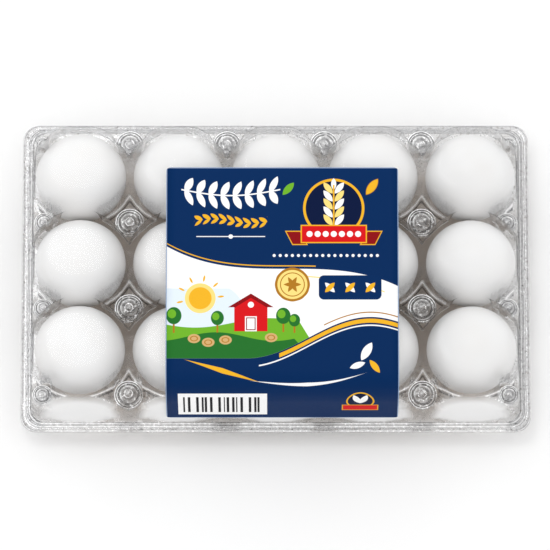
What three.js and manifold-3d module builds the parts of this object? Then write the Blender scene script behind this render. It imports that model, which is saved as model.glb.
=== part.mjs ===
// A clear formed carton holding fifteen white eggs in three rows of five, shut, with a printed label.
// Millimetres, +Z up. X runs along the rows of five, -Y is the front, the carton rests on z = 0.
import * as THREE from "three";
import { mergeVertices } from "three/addons/utils/BufferGeometryUtils.js";
import Module from "manifold-3d";

const wasm = await Module();
wasm.setup();

// Layout of the cells
const COLUMNS = 5;
const ROWS = 3;
const PITCH_X = 48.7;
const PITCH_Y = 44.3;

// Outer size of the carton
const WIDTH = 254.7;
const DEPTH = 158.9;
const HEIGHT = 62;
const CORNER_RADIUS = 8;
const CORNER_STEPS = 4;

// The formed sheet and the two flanges that lie on each other
const SHEET = 0.6;
const TRAY_FLANGE_BOTTOM = 14.4;
const LID_FLANGE_BOTTOM = 15.3;
const FRONT_MARGIN = 15.6;
const FRONT_LINE = -DEPTH / 2 + FRONT_MARGIN;

// Lid walls: distance of the wall from the middle, at the flange and at the top
const LID_SIDE_LOW = 122;
const LID_SIDE_HIGH = 119;
const LID_FRONT_LOW = FRONT_LINE - 8.8;
const LID_FRONT_HIGH = FRONT_LINE - 5;
const LID_BACK_LOW = 75;
const LID_BACK_HIGH = 64.6;
const LID_BACK_BELLY = 2.6;
const LID_WALL_RADIUS = 6;
const LID_WALL_BENDS = [32, 46];

// Each cell of the lid is a dome with a squarish outline: height, half width, half depth.
// It widens towards its base, so that the pads clear the eggs of the back row as the lid swings.
const DOME_POWER = 2.2;
const DOME_POINTS = 12;
const FRONT_DOME_STRETCH = 3;
const CORNER_PULL = 0.12;
const DOME_LEVELS = [
  [20, 27.6, 25.4],
  [49, 26.3, 24.1],
  [56.5, 24.3, 22.1],
  [60.6, 20.8, 18.6],
  [HEIGHT, 16.2, 14],
];
const HOLLOW_LEVELS = [
  [20, 27.6, 25.4],
  [49, 26.3, 24.1],
  [57.5, 23.2, 21],
  [HEIGHT, 16.2, 14],
];

// Pads between the domes, where the lid meets the posts of the tray
const PAD_TOP = 30;
const BUTTON_RADIUS = 5;
const BUTTON_TOP_RADIUS = 3.6;
const BUTTON_ROOT = 0.3;
const BUTTON_HEIGHT = 1.6;
const BUTTON_POINTS = 10;
const BUTTON_INSET = 0.1;

// Arched bulges in the lower front wall, one for each column, with the shares of their height
// at which their sections are taken
const ARCH_TOP = 51;
const ARCH_SHARES = [0, 0.4, 0.7, 0.9, 1];
const ARCH_POWER = 3.2;
const ARCH_POINTS = 12;
const ARCH_INNER_DEPTH = 4;
const ARCH_LEAST_WIDTH = 0.02;
const ARCH_HALF_WIDTH = 21.3;
const ARCH_FRONT_LOW = FRONT_LINE - 10.6;
const ARCH_FRONT_HIGH = FRONT_LINE - 5.6;
const ARCH_BACK = FRONT_LINE + 8;

// Tray: egg cups hanging from the deck and hollow posts standing on it
const CUP_POINTS = 14;
const CUP_LEVELS = [
  [0, 10.4],
  [7.2, 16.6],
  [TRAY_FLANGE_BOTTOM + SHEET, 20],
];
const POST_POINTS = 8;
const POST_BASE_RADIUS = 9;
const POST_TOP_RADIUS = 5.6;
const POST_CLEARANCE = 0.6;
const POST_TOP = PAD_TOP - SHEET - POST_CLEARANCE;
const SIDE_INSET = 5;
const BACK_INSET = 4.3;

// Eggs, blunt end up
const EGG_RADIUS_X = 21.9;
const EGG_RADIUS_Y = 21.3;
const EGG_BELLY_Z = 34;
const EGG_ABOVE = 24;
const EGG_BELOW = 30.4;
const EGG_LOWER_TAPER = 0.06;
const EGG_SEGMENTS = 12;
const EGG_STEPS = 8;

// How much the eggs differ: in size, in height, in lean and in turn (degrees)
const EGG_SIZE_SPREAD = 0.012;
const EGG_HEIGHT_SPREAD = 0.02;
const EGG_LEAST_LEAN = 2;
const EGG_LEANS = 4;
const EGG_TURNS = 7;

// Label over the lid's top and down its front
const LABEL_WIDTH = 115;
const LABEL_MIDDLE_X = 3.3;
const LABEL_BACK = 44.5;
const LABEL_THICKNESS = 0.3;
const LABEL_GAP = 0.3;

// What the label lies on, from the back of the lid's top to low on its front wall: y and z
const LABEL_PATH = [
  [LABEL_BACK, HEIGHT],
  [FRONT_LINE + 5, HEIGHT],
  [FRONT_LINE + 0.6, 61],
  [FRONT_LINE - 2.8, 57.8],
  [FRONT_LINE - 5.2, 53.2],
  [FRONT_LINE - 6.6, 48.5],
  [FRONT_LINE - 9.9, 25.4],
];

function cellX(column) {
  return (column - (COLUMNS - 1) / 2) * PITCH_X;
}

function cellY(row) {
  return FRONT_LINE + (row + 0.5) * PITCH_Y;
}

// Places of the posts, drawn in at the sides and the back where the walls are
function postPlaces() {
  const places = [];
  for (let i = 0; i <= COLUMNS; i += 1) {
    for (let j = 0; j <= ROWS; j += 1) {
      let x = (i - COLUMNS / 2) * PITCH_X;
      let y = FRONT_LINE + j * PITCH_Y;
      if (i === 0) x += SIDE_INSET;
      if (i === COLUMNS) x -= SIDE_INSET;
      if (j === ROWS) y -= BACK_INSET;
      places.push([x, y]);
    }
  }
  return places;
}

// A closed body through rings of equal length, from the lowest to the highest
function loft(rings) {
  const count = rings[0].length;
  const positions = [];
  const indices = [];
  rings.forEach((ring) => ring.forEach((p) => positions.push(...p)));
  for (let r = 0; r + 1 < rings.length; r += 1) {
    for (let k = 0; k < count; k += 1) {
      const next = (k + 1) % count;
      const a = r * count + k;
      const b = r * count + next;
      indices.push(a, b, b + count);
      indices.push(a, b + count, a + count);
    }
  }
  const last = (rings.length - 1) * count;
  for (let k = 1; k + 1 < count; k += 1) {
    indices.push(0, k + 1, k);
    indices.push(last, last + k, last + k + 1);
  }
  const geometry = new THREE.BufferGeometry();
  geometry.setAttribute("position", new THREE.Float32BufferAttribute(positions, 3));
  geometry.setIndex(indices);
  return geometry;
}

function solid(geometry) {
  const bare = geometry.clone();
  bare.deleteAttribute("normal");
  bare.deleteAttribute("uv");
  const merged = mergeVertices(bare, 1e-4);
  return new wasm.Manifold(
    new wasm.Mesh({
      numProp: 3,
      vertProperties: new Float32Array(merged.attributes.position.array),
      triVerts: new Uint32Array(merged.index.array),
    }),
  );
}

function geometryOf(body) {
  const mesh = body.getMesh();
  const geometry = new THREE.BufferGeometry();
  geometry.setAttribute("position", new THREE.BufferAttribute(mesh.vertProperties, 3));
  geometry.setIndex(new THREE.BufferAttribute(mesh.triVerts, 1));
  geometry.computeVertexNormals();
  return geometry;
}

function unite(bodies) {
  return bodies.reduce((sum, body) => sum.add(body));
}

// Rounded rectangle between x = -half and half, y = front and back
function roundedRing(half, front, back, radius, z) {
  const corners = [
    [half - radius, back - radius, 0],
    [-half + radius, back - radius, 90],
    [-half + radius, front + radius, 180],
    [half - radius, front + radius, 270],
  ];
  const ring = [];
  corners.forEach(([cx, cy, start]) => {
    for (let k = 0; k <= CORNER_STEPS; k += 1) {
      const angle = THREE.MathUtils.degToRad(start + (90 * k) / CORNER_STEPS);
      ring.push([cx + radius * Math.cos(angle), cy + radius * Math.sin(angle), z]);
    }
  });
  return ring;
}

function circleRing(cx, cy, radius, z, points) {
  const ring = [];
  for (let k = 0; k < points; k += 1) {
    const angle = (2 * Math.PI * (k + 0.5)) / points;
    ring.push([cx + radius * Math.cos(angle), cy + radius * Math.sin(angle), z]);
  }
  return ring;
}

// Squarish oval whose depth may differ between its front and its back. Its points are drawn
// towards its corners, where it bends most, so that few of them keep close to the true outline.
function ovalRing(cx, cy, halfX, halfBack, halfFront, z, power, points) {
  const ring = [];
  for (let k = 0; k < points; k += 1) {
    const even = (2 * Math.PI * (k + 0.5)) / points;
    const angle = even + CORNER_PULL * Math.sin(4 * even);
    const c = Math.cos(angle);
    const s = Math.sin(angle);
    const reach = (Math.abs(c) ** power + Math.abs(s) ** power) ** (-1 / power);
    const halfY = s > 0 ? halfBack : halfFront;
    ring.push([cx + halfX * reach * c, cy + halfY * reach * s, z]);
  }
  return ring;
}

// Flat slab over the carton's whole outline
function plate(bottom, top) {
  return solid(
    loft([bottom, top].map((z) => roundedRing(WIDTH / 2, -DEPTH / 2, DEPTH / 2, CORNER_RADIUS, z))),
  );
}

// The lid's walls as a tapered block, drawn in by the sheet's thickness for the hollow
function lidBlock(inset, bottom, top) {
  const share = (z) => (z - LID_FLANGE_BOTTOM) / (HEIGHT - LID_FLANGE_BOTTOM);
  const between = (low, high, z) => low + (high - low) * share(z);
  const belly = (z) => LID_BACK_BELLY * Math.sin(Math.PI * THREE.MathUtils.clamp(share(z), 0, 1));
  const levels = [bottom, ...LID_WALL_BENDS, top];
  return solid(
    loft(
      levels.map((z) =>
        roundedRing(
          between(LID_SIDE_LOW, LID_SIDE_HIGH, z) - inset,
          between(LID_FRONT_LOW, LID_FRONT_HIGH, z) + inset,
          between(LID_BACK_LOW, LID_BACK_HIGH, z) + belly(z) - inset,
          LID_WALL_RADIUS - inset,
          z,
        ),
      ),
    ),
  );
}

function lidDomes(inset, levels) {
  const domes = [];
  for (let row = 0; row < ROWS; row += 1) {
    for (let column = 0; column < COLUMNS; column += 1) {
      const stretch = row === 0 ? FRONT_DOME_STRETCH : 0;
      const rings = levels.map(([z, halfX, halfY], k) =>
        ovalRing(
          cellX(column),
          cellY(row),
          halfX - inset,
          halfY - inset,
          halfY + stretch - inset,
          k === levels.length - 1 ? z - inset : z,
          DOME_POWER,
          DOME_POINTS,
        ),
      );
      domes.push(solid(loft(rings)));
    }
  }
  return unite(domes);
}

// Arched bulge: wide at the flange, closing to nothing at its top
function frontArch(column, inset, bottom) {
  const span = ARCH_TOP - LID_FLANGE_BOTTOM;
  const rings = ARCH_SHARES.map((share, k) => {
    const z = k === 0 ? bottom : LID_FLANGE_BOTTOM + span * share - (share === 1 ? inset : 0);
    const narrowing = Math.sqrt(Math.max(1 - share * share, ARCH_LEAST_WIDTH));
    const front = ARCH_FRONT_LOW + (ARCH_FRONT_HIGH - ARCH_FRONT_LOW) * share;
    const halfFront = ARCH_BACK - front - inset;
    return ovalRing(
      cellX(column),
      ARCH_BACK,
      ARCH_HALF_WIDTH * narrowing - inset,
      ARCH_INNER_DEPTH,
      halfFront,
      z,
      ARCH_POWER,
      ARCH_POINTS,
    );
  });
  return solid(loft(rings));
}

function buttons() {
  return unite(
    postPlaces().map(([x, y]) =>
      solid(
        loft([
          circleRing(x, y, BUTTON_RADIUS, PAD_TOP - BUTTON_ROOT, BUTTON_POINTS),
          circleRing(x, y, BUTTON_TOP_RADIUS, PAD_TOP + BUTTON_HEIGHT, BUTTON_POINTS),
        ]),
      ),
    ),
  );
}

function lidBody() {
  const low = LID_FLANGE_BOTTOM;
  const below = low - 2;
  const outer = lidBlock(0, low, HEIGHT + 1).intersect(
    lidDomes(0, DOME_LEVELS).add(plate(low, PAD_TOP)),
  );
  const hollow = lidBlock(SHEET, below, HEIGHT + 1).intersect(
    lidDomes(SHEET, HOLLOW_LEVELS).add(plate(below, PAD_TOP - SHEET)),
  );
  const columns = [...Array(COLUMNS).keys()];
  const arches = unite(columns.map((column) => frontArch(column, 0, low)));
  const archHollows = unite(columns.map((column) => frontArch(column, SHEET, below)));
  const kept = buttons().intersect(lidBlock(BUTTON_INSET, low, HEIGHT));
  return unite([outer, arches, kept, plate(low, low + SHEET)])
    .subtract(hollow)
    .subtract(archHollows);
}

function cups(inset) {
  const bodies = [];
  for (let row = 0; row < ROWS; row += 1) {
    for (let column = 0; column < COLUMNS; column += 1) {
      const rings = CUP_LEVELS.map(([z, radius], k) => {
        const floorLift = k === 0 ? inset : 0;
        const mouthLift = k === CUP_LEVELS.length - 1 && inset > 0 ? 1 : 0;
        const height = z + floorLift + mouthLift;
        return circleRing(cellX(column), cellY(row), radius - inset, height, CUP_POINTS);
      });
      bodies.push(solid(loft(rings)));
    }
  }
  return unite(bodies);
}

// Posts, kept inside the lid's walls
function posts(inset) {
  const base = inset > 0 ? TRAY_FLANGE_BOTTOM - 1 : TRAY_FLANGE_BOTTOM;
  const bodies = postPlaces().map(([x, y]) =>
    solid(
      loft([
        circleRing(x, y, POST_BASE_RADIUS - inset, base, POST_POINTS),
        circleRing(x, y, POST_TOP_RADIUS - inset, POST_TOP - inset, POST_POINTS),
      ]),
    ),
  );
  return unite(bodies).intersect(lidBlock(SHEET + POST_CLEARANCE + inset, base - 1, HEIGHT));
}

function trayBody() {
  const deck = plate(TRAY_FLANGE_BOTTOM, TRAY_FLANGE_BOTTOM + SHEET);
  return unite([deck, cups(0), posts(0)]).subtract(cups(SHEET)).subtract(posts(SHEET));
}

// Lathed egg; each one differs a little in size and leans a little in its cup
function egg(row, column) {
  const count = row * COLUMNS + column;
  const size = 1 - (EGG_SIZE_SPREAD * ((count * 7) % 5)) / 4;
  const stretch = 1 - (EGG_HEIGHT_SPREAD * ((count * 3) % 4)) / 3;
  const profile = [];
  for (let k = 0; k <= EGG_STEPS; k += 1) {
    const angle = Math.PI * (k / EGG_STEPS) - Math.PI / 2;
    const up = Math.sin(angle);
    const z = up > 0 ? up * EGG_ABOVE : up * EGG_BELOW;
    const taper = up > 0 ? 1 : 1 - EGG_LOWER_TAPER * up * up;
    const end = k === 0 || k === EGG_STEPS;
    profile.push(new THREE.Vector2(end ? 0 : Math.cos(angle) * taper, z));
  }
  const geometry = new THREE.LatheGeometry(profile, EGG_SEGMENTS);
  geometry.rotateX(Math.PI / 2);
  geometry.scale(EGG_RADIUS_X * size, EGG_RADIUS_Y * size, size * stretch);
  const lean = THREE.MathUtils.degToRad(EGG_LEAST_LEAN + ((count * 5) % EGG_LEANS));
  const side = (row + column) % 2 === 0 ? 1 : -1;
  geometry.rotateY(lean * side);
  geometry.rotateZ(THREE.MathUtils.degToRad(((count * 11) % EGG_TURNS) - (EGG_TURNS - 1) / 2));
  geometry.translate(cellX(column), cellY(row), EGG_BELLY_Z);
  return geometry;
}

// Label: one strip following the lid's top, its front shoulder and its front wall
function labelBody() {
  const rings = LABEL_PATH.map(([y, z], k) => {
    const [yBefore, zBefore] = LABEL_PATH[Math.max(k - 1, 0)];
    const [yAfter, zAfter] = LABEL_PATH[Math.min(k + 1, LABEL_PATH.length - 1)];
    const along = new THREE.Vector2(yAfter - yBefore, zAfter - zBefore).normalize();
    const out = [along.y, -along.x];
    const near = LABEL_GAP;
    const far = LABEL_GAP + LABEL_THICKNESS;
    const left = LABEL_MIDDLE_X - LABEL_WIDTH / 2;
    const right = LABEL_MIDDLE_X + LABEL_WIDTH / 2;
    return [
      [left, y + out[0] * near, z + out[1] * near],
      [right, y + out[0] * near, z + out[1] * near],
      [right, y + out[0] * far, z + out[1] * far],
      [left, y + out[0] * far, z + out[1] * far],
    ];
  });
  return loft(rings);
}

const carton = new THREE.Group();
carton.name = "egg_carton";

function add(name, geometry, material) {
  const mesh = new THREE.Mesh(geometry, material);
  mesh.name = name;
  carton.add(mesh);
}

function clearSheet() {
  return new THREE.MeshStandardMaterial({
    color: 0xe6eaec,
    roughness: 0.08,
    transparent: true,
    opacity: 0.3,
  });
}

add("tray", geometryOf(trayBody()), clearSheet());
add("lid", geometryOf(lidBody()), clearSheet());
add(
  "label",
  labelBody(),
  new THREE.MeshStandardMaterial({ color: 0x0c3b73, roughness: 0.45 }),
);
for (let row = 0; row < ROWS; row += 1) {
  for (let column = 0; column < COLUMNS; column += 1) {
    add(
      `egg_${row + 1}_${column + 1}`,
      egg(row, column),
      new THREE.MeshStandardMaterial({ color: 0xf3f1ee, roughness: 0.5 }),
    );
  }
}

export default carton;
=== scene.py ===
"""A clear formed carton with fifteen white eggs and a printed label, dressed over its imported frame."""

import math

import bpy
import numpy as np
from bpy.props import (
    FloatProperty,
    FloatVectorProperty,
    IntProperty,
    PointerProperty,
)
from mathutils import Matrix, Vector


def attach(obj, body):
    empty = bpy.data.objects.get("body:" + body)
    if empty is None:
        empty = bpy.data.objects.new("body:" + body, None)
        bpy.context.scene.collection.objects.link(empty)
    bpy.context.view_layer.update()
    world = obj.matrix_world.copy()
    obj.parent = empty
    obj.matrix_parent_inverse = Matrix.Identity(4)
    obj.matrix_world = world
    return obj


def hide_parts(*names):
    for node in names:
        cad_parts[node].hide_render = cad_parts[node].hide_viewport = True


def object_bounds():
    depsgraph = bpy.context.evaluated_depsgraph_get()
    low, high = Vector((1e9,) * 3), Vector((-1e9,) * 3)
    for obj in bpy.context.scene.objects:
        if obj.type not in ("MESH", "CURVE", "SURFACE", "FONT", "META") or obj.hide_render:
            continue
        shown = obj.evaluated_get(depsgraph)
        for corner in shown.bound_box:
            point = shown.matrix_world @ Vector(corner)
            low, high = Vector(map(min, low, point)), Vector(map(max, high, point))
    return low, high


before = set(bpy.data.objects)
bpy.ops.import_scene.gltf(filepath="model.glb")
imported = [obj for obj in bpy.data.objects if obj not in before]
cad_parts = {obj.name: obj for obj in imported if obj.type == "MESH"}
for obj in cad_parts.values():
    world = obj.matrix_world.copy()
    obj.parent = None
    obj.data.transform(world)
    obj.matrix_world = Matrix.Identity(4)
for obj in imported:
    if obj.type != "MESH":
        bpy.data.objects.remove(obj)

bl_info = {
    "name": "Clear egg carton",
    "version": (1, 0, 0),
    "blender": (4, 5, 0),
    "location": "View3D > Sidebar > Carton",
    "description": "Builds a clear formed egg carton with eggs, a label and a studio",
    "category": "Add Mesh",
}

CAD_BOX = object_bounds()

# Sizes are in millimetres from here on, and MM turns them into metres
MM = 0.001
WIDTH = (CAD_BOX[1][0] - CAD_BOX[0][0]) / MM
DEPTH = (CAD_BOX[1][1] - CAD_BOX[0][1]) / MM
COLUMNS = 5
ROWS = 3
FRONT_MARGIN = 15.6
FRONT_LINE = -DEPTH / 2 + FRONT_MARGIN
TRAY_TOP = 15.0
LID_FLANGE = 15.9
LID_TOP = 62.0
PAD_TOP = 30.0

# Buttons of the lid: radius in the middle, then radius and inset at the sides and in the back corners
BUTTON = 7.3
SIDE_BUTTON = (5.0, 5.8)
CORNER_BUTTON = (4.0, 4.6)
BACK_INSET = 4.0


def millimetres(length):
    """A length of the property groups, which hold metres."""
    return round(length / MM, 3)


def pitches(context):
    """Distances between the columns and between the rows."""
    sizes = context.scene.carton_sizes
    return millimetres(sizes.pitch_x), millimetres(sizes.pitch_y)


def column_middle(column, pitch):
    return (column - (COLUMNS - 1) / 2) * pitch[0]


def cells(pitch):
    """Row, column and middle of each egg's cell."""
    for row in range(ROWS):
        for column in range(COLUMNS):
            yield row, column, column_middle(column, pitch), FRONT_LINE + (row + 0.5) * pitch[1]


def post_places(pitch):
    """Places of the posts, drawn in at the walls, with the radius of the button over each."""
    places = []
    for i in range(COLUMNS + 1):
        for j in range(ROWS + 1):
            side = (i == 0) - (i == COLUMNS)
            back = j == ROWS
            radius, inset = BUTTON, 0.0
            if side:
                radius, inset = CORNER_BUTTON if back else SIDE_BUTTON
            x = (i - COLUMNS / 2) * pitch[0] + inset * side
            y = FRONT_LINE + j * pitch[1] - BACK_INSET * back
            places.append((x, y, radius))
    return places


# Mesh helpers


def mesh_piece(name, points, faces, material, smooth=True, uvs=None):
    """A mesh object from points in millimetres, with one material and optional UVs per point."""
    mesh = bpy.data.meshes.new(name)
    mesh.from_pydata([tuple(p) for p in np.asarray(points) * MM], [], faces)
    mesh.materials.append(material)
    if uvs is not None:
        layer = mesh.uv_layers.new(name="UVMap")
        corners = np.empty(len(mesh.loops), dtype=np.int32)
        mesh.loops.foreach_get("vertex_index", corners)
        layer.data.foreach_set("uv", np.asarray(uvs)[corners].ravel())
    mesh.polygons.foreach_set("use_smooth", [smooth] * len(mesh.polygons))
    mesh.update()
    piece = bpy.data.objects.new(name, mesh)
    bpy.context.scene.collection.objects.link(piece)
    return piece


def keep_values(piece, name, values):
    """Keeps a value for each point of a piece's mesh, which its material reads."""
    layer = piece.data.attributes.new(name, "FLOAT", "POINT")
    layer.data.foreach_set("value", values)


def grid_faces(across, along, start=0, flip=False):
    """Quads over a grid whose points run along first, then across."""
    faces = []
    for i in range(across - 1):
        for j in range(along - 1):
            a = start + i * along + j
            quad = (a, a + along, a + along + 1, a + 1)
            faces.append(quad[::-1] if flip else quad)
    return faces


# Shader helpers


class Value:
    """A number socket of a node tree that takes part in Python expressions."""

    def __init__(self, shading, socket):
        self.shading = shading
        self.socket = socket

    def _math(self, operation, *others):
        return self.shading.math(operation, self, *others)

    def __add__(self, other):
        return self._math("ADD", other)

    __radd__ = __add__

    def __sub__(self, other):
        return self._math("SUBTRACT", other)

    def __rsub__(self, other):
        return self.shading.math("SUBTRACT", other, self)

    def __mul__(self, other):
        return self._math("MULTIPLY", other)

    __rmul__ = __mul__

    def __truediv__(self, other):
        return self._math("DIVIDE", other)

    def __rtruediv__(self, other):
        return self.shading.math("DIVIDE", other, self)

    def __pow__(self, other):
        return self._math("POWER", other)

    def __neg__(self):
        return self._math("MULTIPLY", -1.0)

    def __abs__(self):
        return self._math("ABSOLUTE")

    def most(self, other):
        return self._math("MAXIMUM", other)

    def sine(self):
        return self._math("SINE")

    def root(self):
        return self._math("SQRT")

    def over(self, other):
        return self._math("GREATER_THAN", other)

    def clamped(self, scale=1.0, offset=0.0):
        """Itself times the scale and plus the offset, kept from 0 to 1."""
        return self.shading.math("MULTIPLY_ADD", self, scale, offset, clamp=True)


class Shading:
    """Builds the node tree of one material, or of the world."""

    def __init__(self, name, world=None):
        self.material = world or bpy.data.materials.new(name)
        self.material.use_nodes = True
        self.tree = self.material.node_tree
        self.tree.nodes.clear()
        kind = "World" if world else "Material"
        self.output = self.tree.nodes.new("ShaderNodeOutput" + kind)

    def node(self, kind, settings=None, **values):
        """One node: its settings are set first, then the values or links of its sockets."""
        made = self.tree.nodes.new(kind)
        for key, value in (settings or {}).items():
            setattr(made, key, value)
        for key, value in values.items():
            self.put(made.inputs[key.replace("_", " ")], value)
        return made

    def put(self, socket, value):
        if isinstance(value, Value):
            self.tree.links.new(value.socket, socket)
        elif isinstance(value, bpy.types.NodeSocket):
            self.tree.links.new(value, socket)
        else:
            socket.default_value = value

    def math(self, operation, *values, clamp=False):
        made = self.node("ShaderNodeMath", {"operation": operation, "use_clamp": clamp})
        for socket, value in zip(made.inputs, values):
            self.put(socket, value)
        return Value(self, made.outputs[0])

    def attribute(self, name):
        """A value that the mesh keeps for each of its points."""
        return Value(self, self.node("ShaderNodeAttribute", {"attribute_name": name}).outputs["Fac"])

    def split(self, vector):
        """The three parts of a vector."""
        made = self.node("ShaderNodeSeparateXYZ", Vector=vector)
        return [Value(self, socket) for socket in made.outputs]

    def noise(self, scale, detail=3.0):
        """Noise in the piece's own space, so that its grain is at true size."""
        place = self.node("ShaderNodeTexCoord").outputs["Object"]
        made = self.node("ShaderNodeTexNoise", Vector=place, Scale=scale, Detail=detail)
        return Value(self, made.outputs[0])

    def blend(self, factor, first, second):
        """Mix of two colours."""
        made = self.node("ShaderNodeMix", {"data_type": "RGBA"})
        self.put(made.inputs["Factor"], factor)
        self.put(made.inputs[6], first)
        self.put(made.inputs[7], second)
        return made.outputs[2]

    def bump(self, height, strength, distance):
        made = self.node("ShaderNodeBump", Strength=strength, Distance=distance, Height=height)
        return made.outputs[0]

    def mixed(self, factor, first, second):
        """Mix of two shaders."""
        made = self.node("ShaderNodeMixShader", Fac=factor)
        self.put(made.inputs[1], first.outputs[0])
        self.put(made.inputs[2], second.outputs[0])
        return made

    def finish(self, shader):
        self.tree.links.new(shader.outputs[0], self.output.inputs["Surface"])
        return self.material


def linear(colour):
    """An sRGB colour of 0 to 255 as the linear colour that shaders take."""
    parts = []
    for part in colour:
        share = part / 255
        parts.append(share / 12.92 if share <= 0.04045 else ((share + 0.055) / 1.055) ** 2.4)
    return (*parts, 1.0)


# How sharply the clear sheet darkens where it is seen edge on
EDGE_POWER = 13.0

# Reach at which a painted highlight line and a painted dark line run round each dome
BRIGHT_CREASE = 1.02
DARK_CREASE = 1.08


def clear_sheet_material(name, clear, grey, edge):
    """Formed clear sheet: see-through face on, darker and more mirror-like where it is seen edge on.
    The mesh keeps up to four values: mark for embossed, glassier places, which are made greyer and get
    painted glints, painted dark flecks and a painted white glow; shade for painted shade, the dark lines
    and rings; a painted light value for painted highlights and the painted white of the arches; and reach,
    at which a painted highlight line and a painted dark line run round the domes."""
    s = Shading(name)
    mark = s.attribute("mark")
    blotch = s.noise(620.0, 2.0)
    # Painted glints and painted dark flecks, in blotches where the sheet is marked
    sparkle = blotch.clamped(11.0, -6.4) * mark
    painted_dark_flecks = blotch.clamped(-11.0, 4.4) * mark
    ripple = s.bump(s.noise(230.0, 2.0) * (0.2 + mark * 1.1), 0.5, 0.0005)
    facing = Value(s, s.node("ShaderNodeLayerWeight", Blend=0.5, Normal=ripple).outputs["Facing"])
    fresnel = Value(s, s.node("ShaderNodeFresnel", IOR=1.5, Normal=ripple).outputs[0])
    plain = s.node("ShaderNodeBsdfTransparent", Color=clear)
    embossed = s.node("ShaderNodeBsdfTransparent", Color=grey)
    edge_on = s.node("ShaderNodeBsdfTransparent", Color=edge)
    face_on = s.mixed(mark.clamped(), plain, embossed)
    reach = s.attribute("reach")
    # A painted dark line runs round each dome at its reach
    dark_line = abs(reach - DARK_CREASE).clamped(-26, 1.0) * 0.9
    # Darker where seen edge on, and where the painted shade, the painted dark line and the painted flecks
    # lie
    steep = facing**EDGE_POWER + mark * facing * facing + s.attribute("shade") + dark_line + painted_dark_flecks * 0.75
    through = s.mixed(steep.clamped(), face_on, edge_on)
    mirror = s.node("ShaderNodeBsdfGlossy", Color=(1, 1, 1, 1), Roughness=0.08, Normal=ripple)
    film = s.mixed((fresnel * (0.2 + mark * 2.2)).clamped(), through, mirror)
    # A white surface mixed in wherever light is painted; its emission makes the marked places and the
    # painted highlight lines glow, though they are no lamp
    painted_light_surface = s.node("ShaderNodeBsdfPrincipled", Roughness=0.3, Normal=ripple)
    s.put(painted_light_surface.inputs["Base Color"], s.blend(s.noise(60.0), (0.86, 0.86, 0.86, 1), (0.92, 0.92, 0.92, 1)))
    # Painted light, blotchy where the sheet is marked
    painted_light = s.attribute("painted_light") * (1 + mark * (blotch * 1.6 - 0.8))
    # A painted highlight line runs round each dome at its reach
    lines = abs(reach - BRIGHT_CREASE).clamped(-34, 1.0) * 0.55
    glint = s.blend((mark * 0.8 + lines).clamped(), (0, 0, 0, 1), (1, 1, 1, 1))
    s.put(painted_light_surface.inputs["Emission Color"], glint)
    painted_light_surface.inputs["Emission Strength"].default_value = 0.4
    film = s.mixed((painted_light + lines + sparkle * 0.42).clamped(), film, painted_light_surface)
    return s.finish(film)


def shell_material(colours):
    """Matt white eggshell with faint mottling and fine pores."""
    s = Shading("eggshell")
    cloud = s.noise(45.0, 3.0)
    grain = s.noise(900.0, 2.0)
    tone = s.blend((cloud * 1.6 - 0.3).clamped(), (*colours.shell_warm, 1), (*colours.shell, 1))
    pores = s.bump(grain, 0.12, 0.0003)
    body = s.node("ShaderNodeBsdfPrincipled", Normal=pores, Roughness=0.42 + 0.12 * grain)
    s.put(body.inputs["Base Color"], tone)
    body.inputs["Specular IOR Level"].default_value = 0.35
    return s.finish(body)


# Formed sheets


def outline(level, x, y):
    """Less than 1 inside a level's outline and more outside. A level is its height, half width, half
    depth back, half depth front and the outline's power."""
    _, half_x, half_back, half_front, power = level
    half_y = np.where(y > 0, half_back, half_front)
    return (np.abs(x) / half_x) ** power + (np.abs(y) / half_y) ** power


def section_height(levels, x, y, below):
    """Height of a form given by its levels from below upwards."""
    height = np.full(x.shape, below, dtype=float)
    before = None
    for level in levels:
        z = level[0]
        outside = outline(level, x, y) - 1
        if before is not None:
            z_low, out_low = before
            crossing = (out_low <= 0) & (outside > 0)
            share = np.where(crossing, out_low / np.minimum(out_low - outside, -1e-9), 0)
            height = np.where(crossing, z_low + (z - z_low) * share, height)
        before = (z, outside)
    return np.where(before[1] <= 0, before[0], height)


# How much further the domes of the front row reach forward than back
FRONT_STRETCH = 3.0


def dome_levels(pitch, row):
    """Levels of one dome of the lid, flared low down and rounder near its top. In the plan the half
    width and half depth are shares of the pitch."""
    plan = [
        (24, 0.5600, 0.5660, 1.7),
        (30, 0.5560, 0.5620, 1.7),
        (40, 0.5480, 0.5525, 1.7),
        (49, 0.5400, 0.5440, 1.7),
        (53, 0.5216, 0.5237, 1.84),
        (56.5, 0.4990, 0.4989, 1.98),
        (58.8, 0.4641, 0.4605, 2.1),
        (60.6, 0.4209, 0.4131, 2.2),
        (61.5, 0.3737, 0.3612, 2.2),
        (LID_TOP, 0.3121, 0.2935, 2.25),
    ]
    stretch = FRONT_STRETCH if row == 0 else 0.0
    levels = []
    for z, share_x, share_y, power in plan:
        half_y = pitch[1] * share_y
        levels.append((z, pitch[0] * share_x, half_y, half_y + stretch, power))
    return levels


# Arched bulges of the front wall, and the wall itself in front of the cells' line, low and high
ARCH_LOW = 10.6
ARCH_HIGH = 5.6
ARCH_TOP = 51.0
ARCH_HALF_WIDTH = 21.3
ARCH_BACK = 8.0
WALL_FRONT_LOW = 8.8
WALL_FRONT_HIGH = 5.0


def arch_levels():
    """Levels of one arched bulge of the front wall."""
    levels = []
    for share in np.linspace(0, 1, 15):
        narrowing = math.sqrt(max(1 - share * share, 0.0))
        front = ARCH_BACK + ARCH_LOW + (ARCH_HIGH - ARCH_LOW) * share
        z = LID_FLANGE - 0.6 + (ARCH_TOP - LID_FLANGE + 0.6) * share
        levels.append((z, ARCH_HALF_WIDTH * narrowing + 0.01, 4.0, front, 3.2))
    return levels


# How near a post the grid of the lid is fine, and how far the grids stay inside the walls
POST_REACH = 9.49
GRID_INSET = 0.3


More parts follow.
